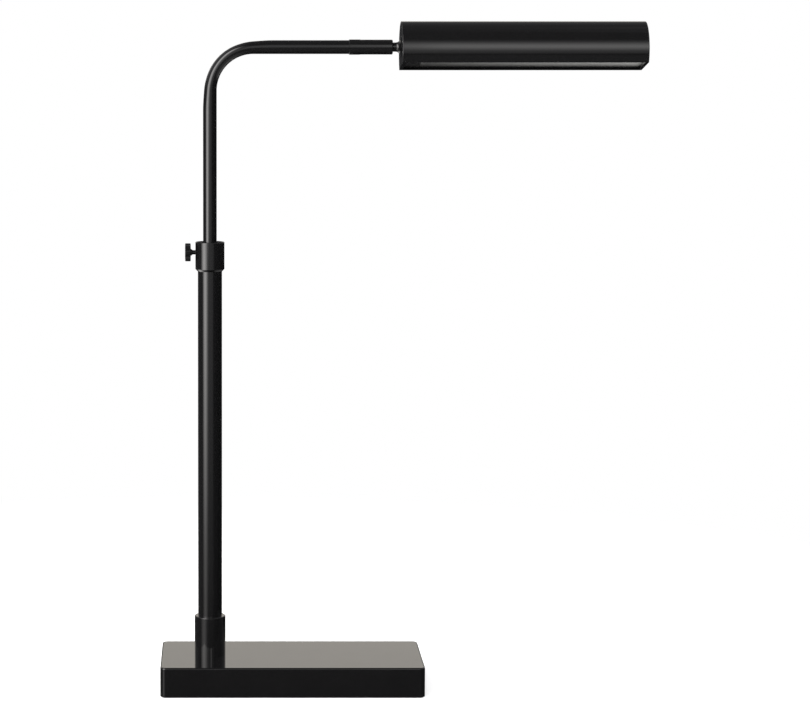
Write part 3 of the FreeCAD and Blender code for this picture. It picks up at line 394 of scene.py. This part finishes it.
def screw_mesh(length):
    """Countersunk screw whose head faces -X at the origin, with its cross recess cut."""
    edge = EDGE_BREAK
    body = as_object("screw", turned([
        (0, 0), (0, HEAD_RADIUS - 2 * edge), (edge / 2, HEAD_RADIUS - edge / 2),
        (edge * 1.5, HEAD_RADIUS), (HEAD_DEPTH, SHANK_RADIUS),
        (length - 4 * edge, SHANK_RADIUS), (length, SHANK_RADIUS - 4 * edge), (length, 0)],
        SCREW_SIDES))
    cutter = as_object("recess", cross_prism())
    cut = body.modifiers.new("recess", "BOOLEAN")
    cut.operation, cut.solver, cut.object = "DIFFERENCE", "EXACT", cutter
    bpy.context.view_layer.update()
    graph = bpy.context.evaluated_depsgraph_get()
    mesh = bpy.data.meshes.new_from_object(body.evaluated_get(graph))
    for thing in (body, cutter):
        bpy.data.objects.remove(thing)
    smooth_faces(mesh)
    return mesh


def make_cap_screws():
    """A screw in each place of the CAD's plain ones, its head at the end it faces."""
    places = separate_solids(nodes["end_cap_screws"].data)
    middle = sum((low.x + high.x) / 2 for low, high in places) / len(places)
    first_low, first_high = places[0]
    mesh = screw_mesh(first_high.x - first_low.x)
    mesh.materials.clear()
    mesh.materials.append(MATERIALS["black_steel"])
    for number, (low, high) in enumerate(places, start=1):
        screw = bpy.data.objects.new("cap_screw_%d" % number, mesh.copy())
        bpy.context.scene.collection.objects.link(screw)
        centre = (low + high) / 2
        faces_left = centre.x < middle
        face = low.x if faces_left else high.x
        way = 0.0 if faces_left else math.pi
        degrees = SCREW_TURN_START + SCREW_TURN_STEP * number
        turn = Matrix.Rotation(math.radians(degrees), 4, "X")
        screw.matrix_world = (Matrix.Translation((face, centre.y, centre.z))
                              @ Matrix.Rotation(way, 4, "Z") @ turn)
        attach(screw, "shade")
        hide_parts("end_cap_screws")


# Arm tube, flattened a little in its bend as tube is when it's bent

# The bend's radius is to the tube's axis
BEND_RADIUS, BEND_STEPS, TUBE_SIDES = 0.0397, 48, 72
# Grooves of the two spring rings, with a gap at each side of a ring
TUBE_WALL, GROOVE_DEPTH, GROOVE_GAP = 0.0012, 0.0004, 0.00005
# What the radius loses in the bend's plane and gains across it
FLATTENING, SPREAD = 0.0008, 0.0003
# Lengths over which it flattens, before the bend and in it
FLAT_OUTSIDE, FLAT_INSIDE, FLAT_STEPS = 0.018, 0.014, 12


def smooth_step(value, start, end):
    share = min(max((value - start) / (end - start), 0.0), 1.0)
    return share * share * (3 - 2 * share)


def arm_tube_route():
    """(Place, direction, flatness, groove depth) along the arm tube's axis."""
    low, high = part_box("arm_tube")
    radius = -low.x
    corner = high.z - radius
    bend_start = corner - BEND_RADIUS
    bend_length = BEND_RADIUS * math.pi / 2
    rise = bend_start - low.z
    total = rise + bend_length + high.x - BEND_RADIUS

    def point(along):
        if along <= rise:
            return Vector((0, 0, low.z + along)), 0.0
        if along >= rise + bend_length:
            return Vector((along - rise - bend_length + BEND_RADIUS, 0, corner)), math.pi / 2
        turn = (along - rise) / BEND_RADIUS
        return Vector((BEND_RADIUS * (1 - math.cos(turn)), 0,
                       bend_start + BEND_RADIUS * math.sin(turn))), turn

    def flatness(along):
        return (smooth_step(along, rise - FLAT_OUTSIDE, rise + FLAT_INSIDE)
                * smooth_step(total - along, high.x - BEND_RADIUS - FLAT_OUTSIDE,
                              high.x - BEND_RADIUS + FLAT_INSIDE))

    stations = [(0.0, 0.0)]
    for ring in ("guide_ring_lower", "guide_ring_upper"):
        bottom, top = (end.z - low.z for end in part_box(ring))
        for place, depth in ((bottom - GROOVE_GAP, 0.0), (bottom - GROOVE_GAP, GROOVE_DEPTH),
                             (top + GROOVE_GAP, GROOVE_DEPTH), (top + GROOVE_GAP, 0.0)):
            stations.append((place, depth))
    bends = [rise - FLAT_OUTSIDE + FLAT_OUTSIDE * step / FLAT_STEPS
             for step in range(FLAT_STEPS)]
    bends += [rise + bend_length * step / BEND_STEPS for step in range(BEND_STEPS)]
    bends += [rise + bend_length + FLAT_OUTSIDE * step / FLAT_STEPS
              for step in range(FLAT_STEPS + 1)]
    stations += [(along, 0.0) for along in bends + [total]]
    return radius, [(*point(along), flatness(along), depth) for along, depth in stations]


def make_arm_tube():
    """Closed skin of the tube: its outside with the grooves, then its bore back again."""
    radius, route = arm_tube_route()
    made = bmesh.new()

    def ring(place, turn, flat, size):
        outward = Vector((-math.cos(turn), 0, math.sin(turn)))
        middle = place - outward * FLATTENING * flat
        across, deep = size + SPREAD * flat, size - FLATTENING * flat
        return [made.verts.new(middle + outward * deep * math.cos(a)
                               + Vector((0, across * math.sin(a), 0)))
                for a in angles_round(TUBE_SIDES)]

    outer = [ring(place, turn, flat, radius - depth) for place, turn, flat, depth in route]
    smooth = [row for row, (_, _, _, depth) in enumerate(route) if depth == 0]
    inner = [ring(*route[row][:3], radius - TUBE_WALL) for row in smooth]
    loop = outer + inner[::-1]
    for here, there in zip(loop, loop[1:] + loop[:1]):
        for side in range(TUBE_SIDES):
            following = (side + 1) % TUBE_SIDES
            made.faces.new([here[side], here[following], there[following], there[side]])
    bmesh.ops.recalc_face_normals(made, faces=made.faces)
    tube = as_object("bent_arm_tube", made)
    smooth_faces(tube.data)
    tube.data.materials.append(MATERIALS["gloss_black"])
    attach(tube, "arm")
    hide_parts("arm_tube")


# Studio: soft boxes in the world, seen from the lamp by direction, and two large lamps

# Side, azimuth from, to and soft edge, elevation where it starts, is full, starts to fall
# and ends, and brightness. "front" counts azimuth from the camera's side and "back" from
# straight behind, both positive towards +X.
SOFT_BOXES = (
    # Light stripe down the tubes, with its weaker foot, its right side and the dim middle
    ("front", -62.0, -30.0, 16.0, -13.0, -5.4, 50.0, 66.0, (7.2, 7.05, 6.95)),
    ("front", -62.0, -30.0, 14.0, -30.0, -14.0, -13.2, -11.5, (1.0, 0.98, 0.97)),
    ("front", -30.0, -9.0, 6.0, -14.0, -4.0, 45.0, 60.0, (0.35, 0.35, 0.35)),
    ("front", -30.0, -8.0, 6.0, -5.0, -1.5, 8.0, 16.0, (1.4, 1.4, 1.4)),
    ("front", -34.0, 30.0, 9.0, -13.8, -7.5, 32.0, 46.0, (0.36, 0.36, 0.36)),
    # Left edge of the tubes, then the shade's stripe
    ("front", -175.0, -66.0, 6.0, -25.0, -12.0, 40.0, 60.0, (0.05, 0.05, 0.05)),
    ("front", -4.0, 14.0, 2.0, -9.0, 14.0, 15.0, 38.0, (0.42, 0.42, 0.42)),
    ("front", 4.0, 14.0, 1.5, -1.0, 14.0, 16.0, 38.0, (1.5, 1.48, 1.46)),
    # Underside of what faces the camera, then what the base's top mirrors
    ("front", -90.0, 90.0, 30.0, -89.0, -70.0, -22.0, -15.0, (0.09, 0.09, 0.09)),
    ("back", -40.0, 40.0, 8.0, 8.0, 11.5, 19.0, 26.0, (0.97, 0.92, 0.84)),
    # For the other views: both sides high up, both sides low down, and three low stripes
    ("front", 38.0, 148.0, 10.0, 3.0, 20.0, 60.0, 88.0, (0.32, 0.32, 0.33)),
    ("front", -148.0, -78.0, 10.0, 3.0, 20.0, 60.0, 88.0, (0.32, 0.32, 0.33)),
    ("front", 32.0, 152.0, 10.0, -88.0, -60.0, -24.0, -15.0, (0.30, 0.30, 0.30)),
    ("front", -152.0, -24.0, 10.0, -88.0, -60.0, -24.0, -15.0, (0.30, 0.30, 0.30)),
    ("front", -60.0, -31.0, 9.0, -70.0, -50.0, -24.0, -15.5, (2.4, 2.35, 2.3)),
    ("front", 95.0, 120.0, 8.0, -70.0, -50.0, -24.0, -15.5, (0.7, 0.69, 0.68)),
    ("front", -150.0, -125.0, 8.0, -70.0, -50.0, -24.0, -15.5, (2.4, 2.35, 2.3)),
)
AMBIENT = (0.02, 0.02, 0.021)
# Brightness that fades from behind the lamp over its top
OVER_START, OVER_FULL, OVER_END = 18.0, 24.0, 105.0
OVER_LIGHT = (0.17, 0.17, 0.173)

# Place, what it points at, side of the square in metres, and power in watts
LAMPS = (
    ("overhead_softbox", (0.4, -0.7, 2.3), (0.15, 0.0, 0.2), 1.8, 26.0),
    ("camera_side_softbox", (-1.1, -2.6, 1.5), (0.15, 0.0, 0.35), 1.6, 17.0),
)


def make_world():
    """White to the camera and through glass, the studio's soft boxes to everything else."""
    world = bpy.data.worlds.new("studio")
    bpy.context.scene.world = world
    world.use_nodes = True
    g = Graph(world.node_tree)
    way = g.node("TexCoord").outputs["Generated"]
    parts = g.node("SeparateXYZ", {0: way}).outputs
    x, y, z = parts["X"], parts["Y"], parts["Z"]

    def degrees(angle):
        return g.math("MULTIPLY", angle, 180 / math.pi)

    toward = g.math("MULTIPLY", y, -1.0)
    sides = {"front": degrees(g.math("ARCTAN2", x, toward)),
             "back": degrees(g.math("ARCTAN2", x, y))}
    height = degrees(g.math("ARCSINE", z))
    over = degrees(g.math("ARCTAN2", z, y))

    def add(total, amount, tint):
        lit = g.mix(amount, colour(0, 0, 0), colour(*tint))
        return g.node("VectorMath", {0: total, 1: lit}, operation="ADD").outputs[0]

    rise = g.change(over, OVER_START, OVER_FULL)
    fall = g.change(over, OVER_FULL, OVER_END, 1.0, 0.0, smooth=False)
    total = add(AMBIENT, g.math("MULTIPLY", rise, fall), OVER_LIGHT)
    for side, left, right, soft, start, full, falling, end, tint in SOFT_BOXES:
        across = g.band(sides[side], left, right, soft)
        upright = g.math("MULTIPLY", g.change(height, start, full, smooth=False),
                         g.change(height, falling, end, 1.0, 0.0))
        total = add(total, g.math("MULTIPLY", across, upright), tint)

    studio = g.node("Background", {"Color": total})
    backdrop = g.node("Background", {"Color": WHITE})
    rays = g.node("LightPath").outputs
    seen = g.math("MAXIMUM", rays["Is Camera Ray"], rays["Is Transmission Ray"])
    both = g.node("MixShader", {0: seen, 1: studio.outputs[0], 2: backdrop.outputs[0]})
    g.node("OutputWorld", {"Surface": both.outputs[0]})


def make_lamps():
    """Large soft lamps. The gloss paint doesn't mirror them: it mirrors the soft boxes."""
    for name, place, target, size, power in LAMPS:
        data = bpy.data.lights.new(name, "AREA")
        data.shape, data.size, data.energy = "SQUARE", size, power
        lamp = bpy.data.objects.new(name, data)
        bpy.context.scene.collection.objects.link(lamp)
        lamp.location = place
        way = Vector(target) - Vector(place)
        lamp.rotation_euler = way.to_track_quat("-Z", "Y").to_euler()
        lamp.visible_glossy = False


FLOOR_RADIUS, FLOOR_STEPS = 4.0, 96
FLOOR_COLOUR = (0.80, 0.80, 0.80, 1.0)
FLOOR_GLOW = 0.55
# Distances from the pole at which the shaded floor starts and ends giving way to white
FLOOR_NEAR, FLOOR_FAR = 0.55, 1.0


def make_floor():
    """Pale floor: white to the camera, with the object's soft shadow on it."""
    made = bmesh.new()
    rim = [made.verts.new((FLOOR_RADIUS * math.cos(a), FLOOR_RADIUS * math.sin(a), 0))
           for a in angles_round(FLOOR_STEPS)]
    made.faces.new(rim)
    floor = as_object("floor", made)
    floor.visible_glossy = False
    material = bpy.data.materials.new("pale_floor")
    material.use_nodes = True
    g = Graph(material.node_tree)
    matt = g.node("BsdfDiffuse", {"Color": FLOOR_COLOUR})
    glow = g.node("Emission", {"Color": WHITE, "Strength": FLOOR_GLOW})
    lifted = g.node("AddShader", {0: matt.outputs[0], 1: glow.outputs[0]})
    away = g.node("VectorMath", {0: g.place()}, operation="LENGTH").outputs["Value"]
    plain = g.node("Emission", {"Color": WHITE})
    fading = g.node("MixShader", {0: g.change(away, FLOOR_NEAR, FLOOR_FAR),
                                  1: lifted.outputs[0], 2: plain.outputs[0]})
    seen = g.node("LightPath").outputs["Is Camera Ray"]
    both = g.node("MixShader", {0: seen, 1: matt.outputs[0], 2: fading.outputs[0]})
    g.node("OutputMaterial", {"Surface": both.outputs[0]})
    floor.data.materials.append(material)


def make_camera():
    data = bpy.data.cameras.new("camera")
    data.sensor_width = 36.0
    data.lens = CAMERA_LENS
    data.shift_x, data.shift_y = CAMERA_SHIFT
    data.clip_start, data.clip_end = 0.05, 50.0
    camera = bpy.data.objects.new("camera", data)
    bpy.context.scene.collection.objects.link(camera)
    camera.location = CAMERA_PLACE
    camera.rotation_euler = (CAMERA_PITCH, 0, 0)
    bpy.context.scene.camera = camera


dress_nodes()
make_cap_screws()
make_arm_tube()
make_world()
make_lamps()
make_floor()
make_camera()
bpy.context.scene.view_settings.view_transform = "Standard"
